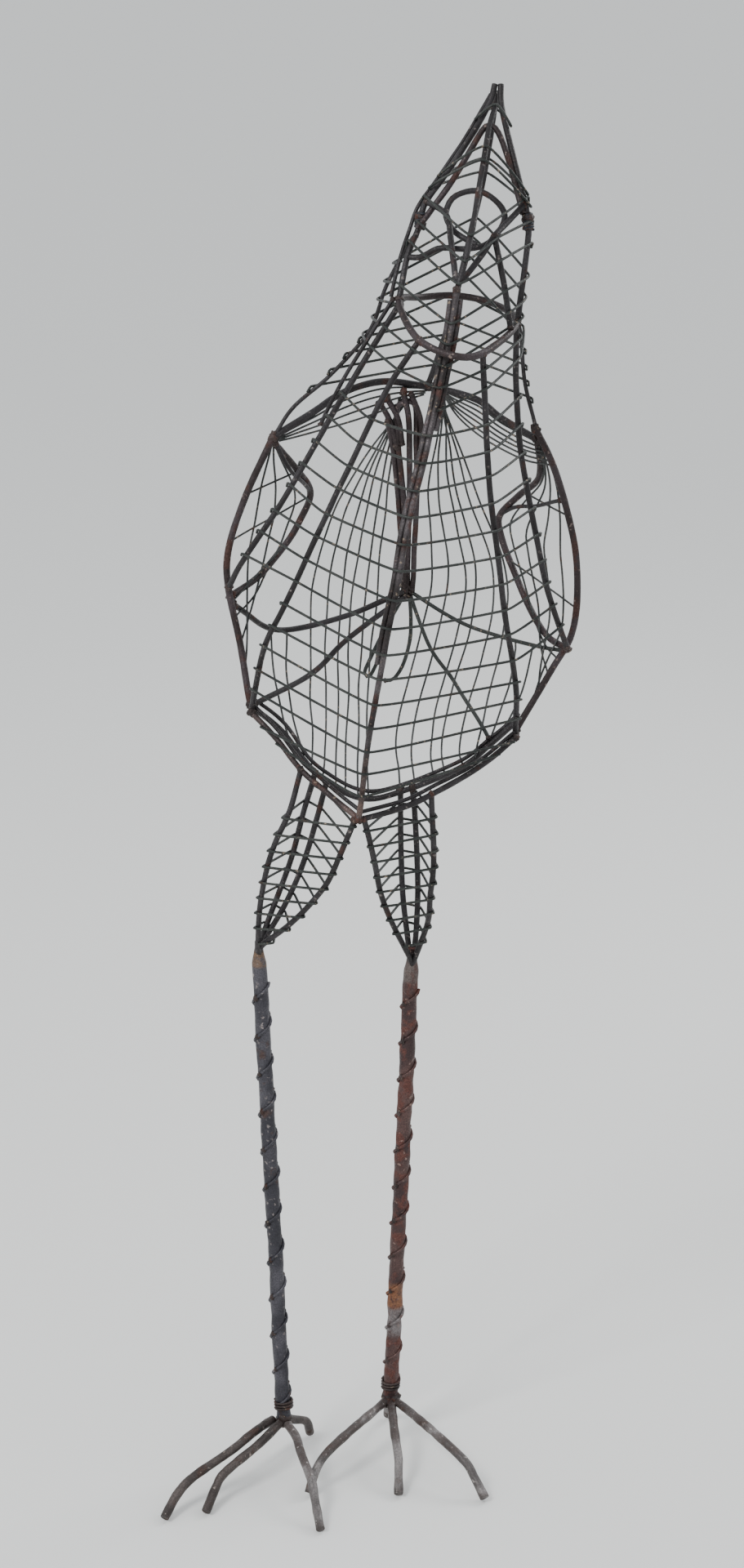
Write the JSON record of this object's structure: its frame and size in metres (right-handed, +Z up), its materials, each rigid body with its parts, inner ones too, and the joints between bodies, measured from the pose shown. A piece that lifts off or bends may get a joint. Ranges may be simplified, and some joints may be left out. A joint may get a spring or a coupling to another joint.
{
  "type": "wire sculpture",
  "caption": "Tall standing bird of bent iron rod wound with thin wire, an open cage body on long straight legs, its beak raised.",
  "frame": {"origin": "centre of the bounding box at ground level, among the toe tips", "axes": "+Z up; -Y the way the bird faces; +X to the right of someone who faces the bird"},
  "size_m": [0.325, 0.3041, 1.0862],
  "materials": {
    "dark_rod": "near-black iron with brown rust",
    "rusty_rod": "dark iron with red-brown rust and a pale sheen",
    "thin_wire": "dark green-grey annealed wire with tan spots",
    "grey_leg_iron": "slate grey iron with paler worn patches",
    "rusty_leg_iron": "red-brown rust with an orange patch and a grey one",
    "toe_iron": "worn light grey iron, browner on one foot"
  },
  "bodies": {
    "root": {"beak_centre_rod": "dark_rod", "beak_wire": "thin_wire", "face_loop": "dark_rod", "jaw_rod": "dark_rod", "keel_rod": "rusty_rod", "left_back_wire": "thin_wire", "left_breast_rod": "dark_rod", "left_breast_wire": "thin_wire", "left_eye_coil": "thin_wire", "left_foot_inner_toe": "toe_iron", "left_foot_middle_toe": "toe_iron", "left_foot_outer_toe": "toe_iron", "left_head_rod": "dark_rod", "left_hip_rim": "dark_rod", "left_hip_stay": "thin_wire", "left_keel_rod": "rusty_rod", "left_leg": "grey_leg_iron", "left_leg_wire": "grey_leg_iron", "left_nape_wire": "dark_rod", "left_shoulder_rod": "dark_rod", "left_side_rod": "dark_rod", "left_tail_loop": "thin_wire", "left_tail_stay": "thin_wire", "left_thigh_front": "dark_rod", "left_thigh_lower_wire": "thin_wire", "left_thigh_rear": "dark_rod", "left_thigh_upper_wire": "thin_wire", "left_wing_edge": "rusty_rod", "left_wing_rod": "rusty_rod", "lower_neck_wire": "thin_wire", "nape_rod": "dark_rod", "neck_ring": "rusty_rod", "rear_rim": "dark_rod", "right_back_wire": "thin_wire", "right_breast_rod": "dark_rod", "right_breast_wire": "thin_wire", "right_eye_coil": "thin_wire", "right_foot_inner_toe": "toe_iron", "right_foot_middle_toe": "toe_iron", "right_foot_outer_toe": "toe_iron", "right_head_rod": "dark_rod", "right_hip_rim": "dark_rod", "right_hip_stay": "thin_wire", "right_keel_rod": "dark_rod", "right_leg": "rusty_leg_iron", "right_leg_wire": "rusty_leg_iron", "right_nape_wire": "dark_rod", "right_shoulder_rod": "dark_rod", "right_side_rod": "dark_rod", "right_tail_loop": "thin_wire", "right_tail_stay": "thin_wire", "right_thigh_front": "dark_rod", "right_thigh_lower_wire": "thin_wire", "right_thigh_rear": "dark_rod", "right_thigh_upper_wire": "thin_wire", "right_throat_rod": "dark_rod", "right_wing_edge": "rusty_rod", "right_wing_rod": "rusty_rod", "spine_rod": "rusty_rod", "upper_neck_wire": "thin_wire"}
  },
  "joints": []
}
